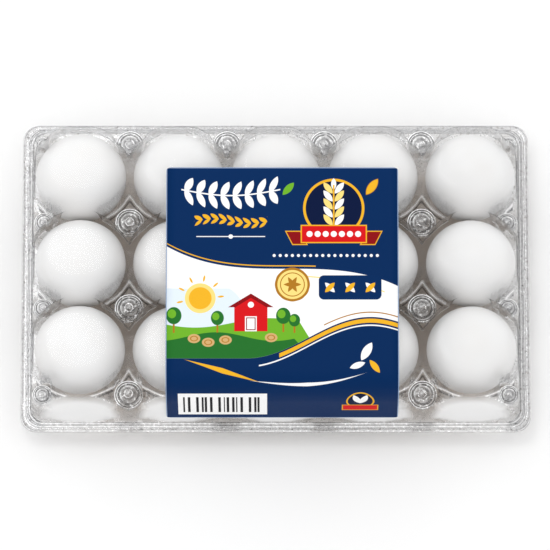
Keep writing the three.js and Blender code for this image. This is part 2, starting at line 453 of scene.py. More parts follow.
def grid_lines(low, high, coarse, fine, places):
    """Lines from low to high, closer together near the given places."""
    lines = [low]
    while lines[-1] < high:
        close = any(abs(lines[-1] - place) < POST_REACH for place in places)
        lines.append(lines[-1] + (fine if close else coarse))
    lines = np.array(lines)
    return low + (lines - low) * (high - low) / (lines[-1] - low)


def mapped_grid(x_lines, y_lines, loops):
    """Plan of a formed sheet: an inner grid, and loops round it that follow the rounded walls. A loop
    starts with its half width, front, back and corner radius. Returns x, y and each point's loop."""
    count = len(loops)
    crowd = 0.12
    nx, ny = len(x_lines) + 2 * count, len(y_lines) + 2 * count
    out_x = np.maximum.reduce([count - np.arange(nx), np.arange(nx) - (nx - 1 - count), np.zeros(nx)])
    out_y = np.maximum.reduce([count - np.arange(ny), np.arange(ny) - (ny - 1 - count), np.zeros(ny)])
    ring = np.maximum(out_x[:, None], out_y[None, :]).astype(int)
    inner = (x_lines[-1], y_lines[0], y_lines[-1], loops[0][3])
    shapes = np.array([inner] + [tuple(loop[:4]) for loop in loops])
    half, front, back, radius = (shapes[ring, k] for k in range(4))

    def along(lines, outs, low, high, axis):
        size = len(outs)
        index = np.clip(np.arange(size) - count, 0, len(lines) - 1)
        share = (lines[index] - lines[0]) / (lines[-1] - lines[0])
        shape = (-1, 1) if axis == 0 else (1, -1)
        share = share.reshape(shape)
        outs = outs.reshape(shape)
        spare = crowd * ring
        value = (low + spare) + (high - low - 2 * spare) * share
        side = np.where(np.arange(size) < size / 2, -1, 1).reshape(shape)
        beyond = np.where(side > 0, high - crowd * (ring - outs), low + crowd * (ring - outs))
        return np.where(outs > 0, beyond, value)

    x = along(x_lines, out_x, -half, half, 0)
    y = along(y_lines, out_y, front, back, 1)
    px = np.abs(x) - (half - radius)
    middle = (front + back) / 2
    py = np.abs(y - middle) - ((back - front) / 2 - radius)
    corner = (px > 0) & (py > 0)
    longest = np.maximum(px, py)
    length = np.hypot(px, py)
    pull = np.where(corner, longest / np.maximum(length, 1e-9), 1)
    x = np.where(corner, np.sign(x) * (half - radius + px * pull), x)
    y = np.where(corner, middle + np.sign(y - middle) * ((back - front) / 2 - radius + py * pull), y)
    return x, y, ring


def sheet_grid(loops, coarse, fine=None, places=()):
    """Plan of a formed sheet within its loops, finer near the given places."""
    half, front, back = loops[0][:3]
    across = [place[0] for place in places]
    along = [place[1] for place in places]
    x_lines = grid_lines(-half + GRID_INSET, half - GRID_INSET, coarse, fine, across)
    y_lines = grid_lines(front + GRID_INSET, back - GRID_INSET, coarse, fine, along)
    return mapped_grid(x_lines, y_lines, loops)


def relaxed(values, rounds, keep):
    """Evens out a grid's values with their neighbours', except where keep is set."""
    for _ in range(rounds):
        near = values.copy()
        near[1:-1, 1:-1] = (
            values[:-2, 1:-1] + values[2:, 1:-1] + values[1:-1, :-2] + values[1:-1, 2:]
        ) / 4
        values = np.where(keep, values, values * 0.5 + near * 0.5)
    return values


# Walls of the lid, low at the flange and high at its top: half width and place of the back
WALL_HALF_LOW = 122
WALL_HALF_HIGH = 119
WALL_BACK_LOW = 75
WALL_BACK_HIGH = 64.6

# Flange of the lid from its wall outwards: distance, rise and its painted shade, which draws dark lines at
# the steps
FLANGE_STEPS = [
    (0.25, 0.0, 0.9),
    (0.75, 0.9, 0.3),
    (1.15, 0.9, 0.0),
    (1.45, 0.1, 0.85),
    (1.95, 0.05, 0.05),
    (2.2, 0.75, 0.8),
    (2.75, 0.75, 0.0),
    (3.0, 0.05, 0.6),
    (3.3, 0.0, 0.08),
    (4.4, 0.0, 0.08),
    (4.7, 0.5, 0.75),
    (5.05, 0.45, 0.0),
    (5.35, -0.4, 0.9),
]


def lid_loops():
    """Loops of the lid from the top of its walls out to the flange's edge, each with its height and its
    painted shade, and the number of loops that are the walls'."""
    loops = []
    steps = 24
    for k in range(steps + 1):
        share = 1 - k / steps
        belly = 2.6 * math.sin(math.pi * share)
        loops.append(
            (
                WALL_HALF_LOW + (WALL_HALF_HIGH - WALL_HALF_LOW) * share,
                FRONT_LINE - (ARCH_LOW + (ARCH_HIGH - 0.6 - ARCH_LOW) * share),
                WALL_BACK_LOW + (WALL_BACK_HIGH - WALL_BACK_LOW) * share + belly,
                7.0 + 0.5 * (1 - share),
                LID_FLANGE + (LID_TOP - LID_FLANGE) * share,
                0.0,
            )
        )
    last = loops[-1]
    for out, rise, shade in FLANGE_STEPS:
        share = out / FLANGE_STEPS[-1][0]
        loops.append(
            (
                last[0] + (WIDTH / 2 - last[0]) * share,
                last[1] + (-DEPTH / 2 - last[1]) * share,
                last[2] + (DEPTH / 2 - last[2]) * share,
                last[3] + (8.0 - last[3]) * share,
                LID_FLANGE + rise,
                shade,
            )
        )
    return loops, steps + 1


def lid_height(pitch, x, y, ring, loops, walls):
    """Height of the lid's sheet over its plan."""
    domes = np.full(x.shape, PAD_TOP)
    for row, _, cell_x, cell_y in cells(pitch):
        dome = section_height(dome_levels(pitch, row), x - cell_x, y - cell_y, PAD_TOP)
        domes = np.maximum(domes, dome)
    for post_x, post_y, radius in post_places(pitch):
        domes = np.where(np.hypot(x - post_x, y - post_y) < radius + 0.05, PAD_TOP, domes)
    heights = np.array([LID_TOP + 3] + [loop[4] for loop in loops])
    side = heights[ring]
    ahead = FRONT_LINE - y
    rise = (WALL_FRONT_LOW - ahead) / (WALL_FRONT_LOW - WALL_FRONT_HIGH)
    front = LID_FLANGE + (LID_TOP + 1 - LID_FLANGE) * np.clip(rise, 0, 1)
    height = np.minimum(np.minimum(side, front), domes)
    levels = arch_levels()
    for column in range(COLUMNS):
        dx = x - column_middle(column, pitch)
        arch = section_height(levels, dx, y - (FRONT_LINE + ARCH_BACK), 0.0)
        height = np.maximum(height, np.minimum(arch, side))
    return np.where(ring > walls, side, np.maximum(height, LID_FLANGE))


# Reach of the points that are far from any dome
FAR = 9.0


def dome_reach(pitch, x, y):
    """How far each point is from the nearest dome: 1 at the foot of its wall, more outside it."""
    reach = np.full(x.shape, FAR)
    for row, _, cell_x, cell_y in cells(pitch):
        foot = dome_levels(pitch, row)[1]
        reach = np.minimum(reach, outline(foot, x - cell_x, y - cell_y))
    return reach


def arch_painted_light(pitch, x, y, z):
    """How far each point of the front wall is inside an arch. This paints the arches white, brightest in
    their middle and fading to their edges, as painted light on the clear bulges.
    """
    cover = np.zeros(x.shape)
    for column in range(COLUMNS):
        dx = x - column_middle(column, pitch)
        outside = (dx / ARCH_HALF_WIDTH) ** 2 + ((z - LID_FLANGE) / (ARCH_TOP - LID_FLANGE)) ** 2
        cover = np.maximum(cover, np.clip((1 - outside) * 2.2, 0, 0.95))
    return np.where((FRONT_LINE - y > 4.2) & (z > LID_FLANGE + 0.3), cover, 0)


def drawn_to_rims(x, y, places, step):
    """Draws the grid's points near each button's rim onto it, and marks the points on it or inside."""
    inside = np.zeros(x.shape, dtype=bool)
    for px, py, radius in places:
        dx, dy = x - px, y - py
        r = np.hypot(dx, dy)
        near = (r > radius - 1.45 * step) & (r < radius + 0.45 * step)
        pull = np.where(near, radius / np.maximum(r, 1e-9), 1)
        x, y = np.where(near, px + dx * pull, x), np.where(near, py + dy * pull, y)
        inside |= r < radius + 0.45 * step
    return x, y, inside


# Button from its rim inwards: share of the radius, rise, and how much painted light and painted shade it
# gets, which make its bright and dark rings
BUTTON_PROFILE = [
    (1.0, 0.0, 0.0, 0.9),
    (0.975, 0.55, 0.5, 0.2),
    (0.955, 0.95, 0.9, 0.0),
    (0.925, 0.95, 0.6, 0.1),
    (0.905, 0.5, 0.0, 0.9),
    (0.865, 0.15, 0.0, 1.0),
    (0.835, 0.15, 0.1, 0.6),
    (0.815, 0.5, 0.75, 0.0),
    (0.785, 0.9, 0.6, 0.0),
    (0.76, 0.95, 0.0, 0.9),
    (0.71, 0.75, 0.0, 1.0),
    (0.66, 0.75, 0.0, 1.0),
    (0.63, 1.3, 0.1, 0.8),
    (0.59, 1.9, 0.4, 0.3),
    (0.5, 2.4, 0.22, 0.5),
    (0.38, 2.75, 0.05, 0.75),
    (0.26, 2.85, 0.08, 0.7),
    (0.16, 2.7, 0.2, 0.5),
    (0.07, 2.45, 0.28, 0.4),
]


def button_patch(place, segments):
    """Points, faces and kept values of one button of the lid: a ribbed disc with a domed middle, with
    rings of painted light and painted shade.
    """
    px, py, radius = place
    scale = radius / BUTTON
    turn = np.arange(segments) * 2 * math.pi / segments
    points = []
    for share, rise, _, _ in BUTTON_PROFILE:
        r = radius * share
        z = np.full(segments, PAD_TOP + rise * scale)
        points.append(np.stack([px + r * np.cos(turn), py + r * np.sin(turn), z], axis=-1))
    points = np.concatenate([*points, [[px, py, PAD_TOP + 2.4 * scale]]])
    faces = []
    for ring in range(len(BUTTON_PROFILE) - 1):
        for k in range(segments):
            n = (k + 1) % segments
            a = ring * segments
            faces.append((a + k, a + n, a + segments + n, a + segments + k))
    a = (len(BUTTON_PROFILE) - 1) * segments
    for k in range(segments):
        faces.append((a + k, a + (k + 1) % segments, len(points) - 1))
    painted_light, shade = np.array(BUTTON_PROFILE).T[2:]
    # Painted highlight: the painted light is brighter towards the back left, with three weaker lobes
    lit = 1 + 0.75 * np.cos(turn - 2.2) + 0.35 * np.cos(3 * turn + px)
    values = {
        "painted_light": np.append(np.outer(painted_light, lit), 0.2),
        "shade": np.append(np.repeat(shade, segments), 0.4),
        "mark": np.ones(len(points)),
        "reach": np.zeros(len(points)),
    }
    return points, faces, values


def creases(z, inside):
    """Tells where the foot and the top of the steep walls of the domes are."""
    highest = z.copy()
    lowest = z.copy()
    for axis in (0, 1):
        for step in (-1, 1):
            near = np.roll(z, step, axis)
            highest = np.maximum(highest, near)
            lowest = np.minimum(lowest, near)
    foot = (z < PAD_TOP + 4) & (highest - z > 3.0) & (z > PAD_TOP - 1) & ~inside
    top = (z > 44) & (z < 57) & (z - lowest > 5.0) & ~inside
    return foot * 1.0, top * 1.0


class CartonSizes(bpy.types.PropertyGroup):
    """Sizes that a user would change."""

    pitch_x: FloatProperty(name="Column pitch", description="Between columns", unit="LENGTH", default=0.0487)
    pitch_y: FloatProperty(name="Row pitch", description="Between rows", unit="LENGTH", default=0.0443)
    fine_step: FloatProperty(
        name="Fine step", description="Mesh step near the posts", unit="LENGTH", default=0.00075
    )
    coarse_step: FloatProperty(
        name="Coarse step", description="Mesh step elsewhere", unit="LENGTH", default=0.00125
    )
    egg_segments: IntProperty(name="Egg segments", description="Segments round an egg", default=72)
    button_segments: IntProperty(name="Button segments", description="Segments round a button", default=64)


class CartonColours(bpy.types.PropertyGroup):
    """Colours and light that a user would change."""

    shell: FloatVectorProperty(
        name="Eggshell", description="Eggshell", subtype="COLOR", default=(0.905, 0.9, 0.895)
    )
    shell_warm: FloatVectorProperty(
        name="Warm eggshell", description="Warmer clouds", subtype="COLOR", default=(0.88, 0.86, 0.84)
    )
    floor: FloatVectorProperty(
        name="Floor", description="Studio floor", subtype="COLOR", default=(0.96, 0.96, 0.96)
    )
    navy: FloatVectorProperty(
        name="Label ground", description="Label ground", subtype="COLOR", default=(0.0, 0.023, 0.104)
    )
    studio_light: FloatProperty(name="Studio light", description="Strength of the world", default=0.95)


def lid_values(pitch, x, y, z, ring, loops, walls, inside):
    """Values of the lid's points that its material reads: painted light on the arches and in bright lines
    on the flange, painted shade on the flange, a mark that makes the creases of the domes, the flange and
    the margins greyer with painted glints and dark flecks, and the reach from the domes.
    """
    foot, top = creases(z, inside)
    reach = np.where(ring > 0, FAR, dome_reach(pitch, x, y))
    shade = np.array([0.0] + [loop[5] for loop in loops])[ring]
    # Painted white of the arches
    painted_light = relaxed(arch_painted_light(pitch, x, y, z), 2, inside)
    # Painted highlight lines on the flange's steps that have no painted shade
    painted_light = np.maximum(painted_light, 0.4 * ((ring > walls) & (shade == 0)))
    # Margins near the walls are marked as well, so that painted glints and dark flecks fall there
    margin = (ring == 0) & (reach > 1) & ((np.abs(x) > 106) | (y > 57) | (y < -62))
    mark = np.where(ring > walls - 1, 0.75, np.maximum(foot * 0.4 + top * 0.3, margin * 0.8))
    mark = np.where(inside, 1.0, relaxed(mark, 1, inside))
    return {"painted_light": painted_light, "shade": shade, "mark": mark, "reach": reach}


class CARTON_OT_lid(bpy.types.Operator):
    """Form the lid's clear sheet with its domes, pads, buttons and flange"""

    bl_idname = "carton.lid"
    bl_label = "Form the lid"

    def execute(self, context):
        sizes = context.scene.carton_sizes
        fine = millimetres(sizes.fine_step)
        coarse = millimetres(sizes.coarse_step)
        pitch = pitches(context)
        places = post_places(pitch)
        loops, walls = lid_loops()
        x, y, ring = sheet_grid(loops, coarse, fine, places)
        x, y, inside = drawn_to_rims(x, y, places, fine)
        z = lid_height(pitch, x, y, ring, loops, walls)
        z = relaxed(z, 2, (ring > walls - 1) | inside)
        grid_values = lid_values(pitch, x, y, z, ring, loops, walls, inside)
        kept = {name: [values.reshape(-1)] for name, values in grid_values.items()}
        points = np.stack([x, y, z], axis=-1).reshape(-1, 3)
        hole = inside.reshape(-1)
        faces = [face for face in grid_faces(*x.shape) if not hole[list(face)].all()]
        for place in places:
            more, patch, values = button_patch(place, sizes.button_segments)
            faces += [tuple(k + len(points) for k in face) for face in patch]
            points = np.concatenate([points, more])
            for name in kept:
                kept[name].append(values[name])
        material = clear_sheet_material(
            "clear_lid", (0.975, 0.98, 0.985, 1), (0.88, 0.885, 0.9, 1), (0.27, 0.275, 0.285, 1)
        )
        piece = mesh_piece("lid_sheet", points, faces, material)
        for name, values in kept.items():
            keep_values(piece, name, np.concatenate(values))
        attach(piece, "lid")
        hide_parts("lid")
        return {"FINISHED"}


# Half sections of an egg cup and of a post of the tray: radii and heights
CUP = ([0, 9.6, 10.4, 13.2, 16.0, 18.4, 19.4, 20.4], [0.05, 0.05, 0.4, 3.5, 6.9, 11.0, 13.7, TRAY_TOP])
POST = ([0, 4.6, 5.4, 8.6, 9.4], [28.8, 28.8, 28.0, 15.8, TRAY_TOP])

# Mesh step of the tray, and width of its flange at the sides, in front and at the back
TRAY_STEP = 1.0
TRAY_FLANGE = (5.35, 5.05, 4.4)


def tray_loops():
    """Loops of the tray's flange, with their heights."""
    side, front, back = TRAY_FLANGE
    loops = []
    for out, rise in [(0, 0), (0.8, 0), (1.2, 0), (3.0, 0), (4.8, 0), (5.1, -0.2), (side, -0.6)]:
        loops.append(
            (
                WIDTH / 2 - side + out,
                -DEPTH / 2 + front - out * front / side,
                DEPTH / 2 - back + out * back / side,
                7.5 + 0.5 * out / side,
                TRAY_TOP + rise,
            )
        )
    return loops


def tray_height(pitch, x, y, ring, loops):
    """Height of the tray's sheet over its plan."""
    height = np.full(x.shape, TRAY_TOP)
    for _, _, cell_x, cell_y in cells(pitch):
        cup = np.interp(np.hypot(x - cell_x, y - cell_y), *CUP)
        height = np.minimum(height, cup)
    for post_x, post_y, _ in post_places(pitch):
        r = np.hypot(x - post_x, y - post_y)
        post = np.interp(r, *POST)
        height = np.where(r < POST[0][-1], np.maximum(height, post), height)
    flange = np.array([0.0] + [loop[4] for loop in loops])
    return np.where(ring > 0, flange[ring], height)


class CARTON_OT_tray(bpy.types.Operator):
    """Form the tray's clear sheet with its egg cups, deck, posts and flange"""

    bl_idname = "carton.tray"
    bl_label = "Form the tray"

    def execute(self, context):
        loops = tray_loops()
        x, y, ring = sheet_grid(loops, TRAY_STEP)
        z = tray_height(pitches(context), x, y, ring, loops)
        z = relaxed(z, 1, ring > 0)
        points = np.stack([x, y, z], axis=-1).reshape(-1, 3)
        # The tray's plain colour is a brownish grey that paints the shade between the cups and eggs; its
        # edge-on colour is brownish too
        material = clear_sheet_material(
            "clear_tray", (0.84, 0.79, 0.745, 1), (0.97, 0.97, 0.975, 1), (0.45, 0.41, 0.37, 1)
        )
        piece = mesh_piece("tray_sheet", points, grid_faces(*x.shape), material)
        # The mark rises towards the edges, where the sheet is clear instead of tinted with painted shade,
        # and where painted glints and dark flecks fall
        beyond = np.maximum(np.abs(x) - 103, np.maximum(y - 52, -y - 68))
        keep_values(piece, "mark", np.clip(beyond / 9, 0, 0.8).reshape(-1))
        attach(piece, "tray")
        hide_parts("tray")
        return {"FINISHED"}


# Egg: half widths across and front to back, its ends' distances from its widest section, and the
# height of that section
EGG_ACROSS = 22.55
EGG_ALONG = 21.65
EGG_BLUNT = 24.0
EGG_POINTED = 30.4
EGG_MIDDLE = 34.0


def egg_points(row, column, segments, steps):
    """Egg with its blunt end up, a little different in size and lean from its neighbours."""
    count = row * COLUMNS + column
    size = 1 - 0.012 * ((count * 7) % 5) / 4
    stretch = 1 - 0.02 * ((count * 3) % 4) / 3
    angle = np.linspace(-math.pi / 2, math.pi / 2, steps + 1)
    up = np.sin(angle)
    z = np.where(up > 0, up * EGG_BLUNT, up * EGG_POINTED)
    radius = np.cos(angle) * np.where(up > 0, 1, 1 - 0.06 * up * up)
    radius[0] = radius[-1] = 0
    turn = np.arange(segments) * 2 * math.pi / segments
    x = np.outer(radius, np.cos(turn)) * EGG_ACROSS * size
    y = np.outer(radius, np.sin(turn)) * EGG_ALONG * size
    z = np.repeat((z * size * stretch)[:, None], segments, axis=1)
    lean = math.radians(2 + ((count * 5) % 4)) * (1 if (row + column) % 2 == 0 else -1)
    x, z = x * math.cos(lean) + z * math.sin(lean), z * math.cos(lean) - x * math.sin(lean)
    swing = math.radians(((count * 11) % 7) - 3)
    x, y = x * math.cos(swing) - y * math.sin(swing), x * math.sin(swing) + y * math.cos(swing)
    return np.stack([x, y, z], axis=-1)


def egg_faces(segments, steps):
    """Faces of an egg whose first and last points are its ends."""
    last = 1 + (steps - 1) * segments
    faces = []
    for k in range(segments):
        n = (k + 1) % segments
        faces.append((0, 1 + n, 1 + k))
        for s in range(steps - 2):
            a = 1 + s * segments
            faces.append((a + k, a + n, a + segments + n, a + segments + k))
        a = 1 + (steps - 2) * segments
        faces.append((a + k, a + n, last))
    return faces


class CARTON_OT_eggs(bpy.types.Operator):
    """Make the fifteen eggs"""

    bl_idname = "carton.eggs"
    bl_label = "Make the eggs"

    def execute(self, context):
        material = shell_material(context.scene.carton_colours)
        segments = context.scene.carton_sizes.egg_segments
        steps = segments // 2
        faces = egg_faces(segments, steps)
        for row, column, x, y in cells(pitches(context)):
            grid = egg_points(row, column, segments, steps) + (x, y, EGG_MIDDLE)
            points = [grid[0, 0], *grid[1:-1].reshape(-1, 3), grid[-1, 0]]
            name = f"egg_{row + 1}_{column + 1}"
            piece = mesh_piece(f"shell_{row + 1}_{column + 1}", points, faces, material)
            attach(piece, "tray")
            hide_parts(name)
        return {"FINISHED"}


# Label: half its width, its middle, its corners' radius, how far its underside and its printed side
# lie over its path, and the path's y and z from the back to the front
LABEL_HALF = 57.5
LABEL_X = 3.3
LABEL_CORNER = 1.8
LABEL_UNDER = 0.3
LABEL_TOP = 0.56
LABEL_PATH = [
    (44.5, LID_TOP),
    (FRONT_LINE + 5, LID_TOP),
    (FRONT_LINE + 0.6, 61.0),
    (FRONT_LINE - 2.8, 57.8),
    (FRONT_LINE - 5.2, 53.2),
    (FRONT_LINE - 6.6, 48.5),
    (FRONT_LINE - 9.9, 25.4),
]

# Points along the label and parts across it
LABEL_SAMPLES = 220
LABEL_PARTS = 24


def label_path():
    """Smooth side view of the label: lengths along it, places, outward directions and whole length."""
    knots = np.array(LABEL_PATH)
    lengths = np.concatenate([[0], np.cumsum(np.hypot(*np.diff(knots, axis=0).T))])
    total = lengths[-1]
    dense = np.linspace(0, total, 1200)
    y = np.interp(dense, lengths, knots[:, 0])
    z = np.interp(dense, lengths, knots[:, 1])
    kernel = np.hanning(61)
    kernel /= kernel.sum()
    pad = len(kernel) // 2
    y_pad = np.concatenate([2 * y[0] - y[pad:0:-1], y, 2 * y[-1] - y[-2 : -pad - 2 : -1]])
    z_pad = np.concatenate([2 * z[0] - z[pad:0:-1], z, 2 * z[-1] - z[-2 : -pad - 2 : -1]])
    y = np.convolve(y_pad, kernel, "valid")
    z = np.convolve(z_pad, kernel, "valid")
    at = np.linspace(0, total, LABEL_SAMPLES)
    y, z = np.interp(at, dense, y), np.interp(at, dense, z)
    ty, tz = np.gradient(y, at), np.gradient(z, at)
    size = np.hypot(ty, tz)
    return at, y, z, tz / size, -ty / size, total


# Soft edge between two inks
PRINT_SOFTNESS = 0.14


class Print:
    """Colour fields and plain motifs laid over one another, on a surface measured in millimetres.
    A shape is a distance that is below zero inside it, so the most of two shapes is where they meet."""

    def __init__(self, shading, u, v, ground=None):
        self.s = shading
        self.u = u
        self.v = v
        self.ink = ground

    def moved(self, u, v):
        """The same surface measured otherwise, for motifs that repeat or follow a curve."""
        return Print(self.s, u, v)

    def paint(self, distance, colour):
        """Inks the places where the distance is below zero."""
        self.ink = self.s.blend(distance.clamped(-1 / PRINT_SOFTNESS, 0.5), self.ink, colour)

    def turned(self, cu, cv, turn):
        """Places measured from a middle along turned axes."""
        du = self.u - cu if cu else self.u
        dv = self.v - cv
        if not turn:
            return du, dv
        c, n = math.cos(turn), math.sin(turn)
        return du * c + dv * n, dv * c - du * n

    def oval(self, cu, cv, ru, rv=None, turn=0.0):
        rv = ru if rv is None else rv
        x, y = self.turned(cu, cv, turn)
        x, y = x / ru, y / rv
        return ((x * x + y * y).root() - 1) * min(ru, rv)

    def leaf(self, cu, cv, long, wide, turn):
        """A leaf with two pointed ends: half its length and half its width are given."""
        x, y = self.turned(cu, cv, turn)
        bow = (long * long - wide * wide) / (2 * wide)
        y = abs(y) + bow
        return (x * x + y * y).root() - (bow + wide)

    def block(self, cu, cv, half_u, half_v, slant=0.0):
        return (abs(self.u - cu + (self.v - cv) * slant) - half_u).most(abs(self.v - cv) - half_v)

    def pill(self, cu, cv, half_u, half_v, radius):
        x = (abs(self.u - cu) - (half_u - radius)).most(0.0)
        y = (abs(self.v - cv) - (half_v - radius)).most(0.0)
        return (x * x + y * y).root() - radius

    def repeated(self, low, high, count):
        """The place across within each of a row of parts, from the part's middle."""
        pitch = (high - low) / count
        return self.s.math("WRAP", self.u - low, pitch, 0.0) - pitch / 2


def edged(shape, half):
    """The edge of a shape as a line of twice the given width."""
    return abs(shape) - half


# Inks of the label
DEEP = linear((5, 22, 60))
WHITE = linear((252, 252, 252))
GOLD = linear((240, 180, 40))
PALE_GOLD = linear((250, 222, 130))
BRONZE = linear((176, 120, 34))
RED = linear((214, 22, 28))
DARK_RED = linear((140, 14, 20))
GREEN = linear((112, 178, 44))
DARK_GREEN = linear((38, 112, 44))
STRAW = linear((212, 172, 116))
SKY = linear((226, 238, 248))
RIM_BLUE = linear((150, 172, 205))
BAR_BLACK = linear((20, 22, 28))
UNDERSIDE = linear((236, 237, 238))


def paint_band(p):
    """White band, wide at the left. Returns it and the distances from its edges."""
    rise = (p.u - 60) / 55
    upper = p.v - (52 + 9 * (rise * rise * rise))
    run = (70.5 - p.u.most(40.0)) * (math.pi / 61)
    lower = p.v - (87 + 10.5 * run.sine())
    band = (-upper).most(lower)
    p.paint(band, WHITE)
    return band, upper, lower


def paint_farm(p, band):
    """Fields with a sun, trees, a barn and bales in the band."""
    u, v = p.u, p.v
    p.paint(band.most(u - 66).most(62 - v).most(p.oval(12, 72, 26, 15)), SKY)
    p.paint(band.most(p.oval(17, 67, 7.6)), PALE_GOLD)
    p.paint(band.most(p.oval(17, 67, 5.6)), GOLD)
    for turn in (2.95, 3.6, 4.25, 4.9, 5.55, 6.2):
        ray = p.oval(17 + 10.2 * math.cos(turn), 67 + 10.2 * math.sin(turn), 1.6, 0.5, turn)
        p.paint(band.most(ray), GOLD)
    back_field = 79.5 + ((u + 4) * 0.085).sine() * 2.4 - v
    p.paint(band.most(back_field).most(u - 66 + (v - 79) * -0.6), GREEN)
    front_field = 86.5 + ((u + 18) * 0.11).sine() * 2.2 - v
    p.paint(band.most(front_field).most(u - 62 + (v - 86) * -0.9), DARK_GREEN)
    for cu, cv, size in ((58, 77, 3.6), (63.5, 79, 2.8), (25.5, 78, 3.2), (4, 77, 3.8)):
        p.paint(p.block(cu, cv + size, 0.45, size).most(band), BRONZE)
        p.paint(p.oval(cu, cv - size * 0.3, size, size * 1.15).most(band), DARK_GREEN)
        bright = p.oval(cu - size * 0.25, cv - size * 0.55, size * 0.55, size * 0.6)
        p.paint(bright.most(band), GREEN)
    p.paint(p.block(42, 77.5, 8.2, 6.3), RED)
    for ridge, ink in ((64.6, DARK_RED), (66.8, RED)):
        p.paint((abs(u - 42) * 0.62 + ridge - v).most(v - 71.6), ink)
    p.paint(p.block(42, 80, 2.9, 3.8), WHITE)
    p.paint(edged(p.block(42, 80, 2.1, 3.0), 0.25), DARK_RED)
    p.paint(p.oval(42, 70.3, 1.5), WHITE)
    for cu, cv in ((14, 87.5), (21, 89.4), (29.5, 88.2), (52, 87)):
        p.paint(p.oval(cu, cv, 3.1, 2.3), STRAW)
        p.paint(edged(p.oval(cu, cv, 1.7, 1.2), 0.2), BRONZE)


def paint_band_lines(p, upper, lower):
    """Thin and thick lines along the band's edges."""
    u = p.u
    p.paint(edged(upper + 1.5, 0.28).most(u - 74), GOLD)
    p.paint(edged(upper - 3.4 - (u - 60) * 0.05, 0.3).most(70 - u).most(u - 108), PALE_GOLD)
    p.paint(edged(lower - 1.9, 1.05).most(56 - u), GOLD)
    p.paint(edged(lower + 2.4, 0.3).most(78 - u), BRONZE)
    p.paint(edged(lower - 4.2, 0.35).most(46 - u), WHITE)


def paint_badges(p, navy):
    """A dark badge with crossed leaves, and a rosette with a star of leaves."""
    p.paint(p.pill(91, 61.5, 15.5, 6.2, 2.6), navy)
    for cu in (81, 91, 101):
        p.paint(p.leaf(cu, 61.5, 3.4, 1.3, 0.8), WHITE)
        p.paint(p.leaf(cu, 61.5, 3.4, 1.3, -0.8), GOLD)
    for turn in (0.0, 0.52, 1.05, 1.57, 2.09, 2.62):
        p.paint(p.oval(62.5, 60, 8.7, 7.3, turn), BRONZE)
    p.paint(p.oval(62.5, 60, 7.4), PALE_GOLD)
    p.paint(edged(p.oval(62.5, 60, 5.9), 0.25), BRONZE)
    for turn in (0.0, 1.05, 2.09):
        p.paint(p.leaf(62.5, 60, 4.4, 1.2, turn), BRONZE)


def paint_emblem(p):
    """An ear of wheat in a ring, over a plain red ribbon with dots."""
    p.paint(p.oval(83, 21, 15.2), GOLD)
    p.paint(p.oval(83, 21, 13.9), DEEP)
    for k in range(5):
        low = 27 - 4.1 * k
        inks = (WHITE, PALE_GOLD) if k % 2 else (PALE_GOLD, WHITE)
        p.paint(p.leaf(80.2, low, 3.6, 1.45, 0.9), inks[0])
        p.paint(p.leaf(85.8, low, 3.6, 1.45, -0.9), inks[1])
    p.paint(p.leaf(83, 8.6, 3.0, 1.3, math.pi / 2), WHITE)
    p.paint(p.block(83, 22, 0.4, 13), GOLD)
    for side in (-1, 1):
        tail = p.block(83 + 18.5 * side, 36.2, 3.6, 3.4, 0.5 * side)
        p.paint(tail, DARK_RED)
        p.paint(edged(tail, 0.25), GOLD)
    p.paint(p.block(83, 34.2, 16.4, 4.7), GOLD)
    p.paint(p.block(83, 34.2, 15.8, 4.1), RED)
    dots = p.moved(p.repeated(69, 97, 7), p.v)
    p.paint(dots.oval(0, 34.2, 1.5).most(abs(p.u - 83) - 13.9), WHITE)


def paint_garland(p):
    """Garland, sprig and rules at the left, two leaves and a row of dots."""
    u, v = p.u, p.v
    arc = 11.5 + ((u - 8) * (math.pi / 48)).sine() * 3.0
    pairs = p.moved(p.repeated(8, 56, 8), v - arc)
    for side in (1, -1):
        p.paint(pairs.leaf(0.2, 3.2 * side, 4.3, 1.75, 1.1 * side).most(abs(u - 32) - 24), WHITE)
    p.paint(edged(v - arc, 0.35).most(abs(u - 32) - 24.5), WHITE)
    wave = p.moved(p.repeated(14, 50, 9), v - 27.5 + ((u - 14) * 0.17).sine() * 1.2)
    p.paint(wave.leaf(0, -1.1, 2.6, 0.95, 0.6).most(abs(u - 32) - 18), GOLD)
    p.paint(wave.leaf(0, 1.3, 2.2, 0.8, -0.6).most(abs(u - 32) - 18), GOLD)
    p.paint(p.block(32, 35.5, 17, 0.22), WHITE)
    p.paint(p.oval(32, 35.5, 1.1), WHITE)
    p.paint(p.leaf(60.5, 11, 4.2, 1.7, 2.3), GREEN)
    single = p.leaf(102, 10, 5.0, 2.0, 2.2)
    p.paint(single, GOLD)
    p.paint(edged(single, 0.12), BRONZE)
    dots = p.moved(p.repeated(52, 106, 18), v)
    p.paint(dots.oval(0, 45.2, 0.75).most(abs(u - 79) - 27), WHITE)


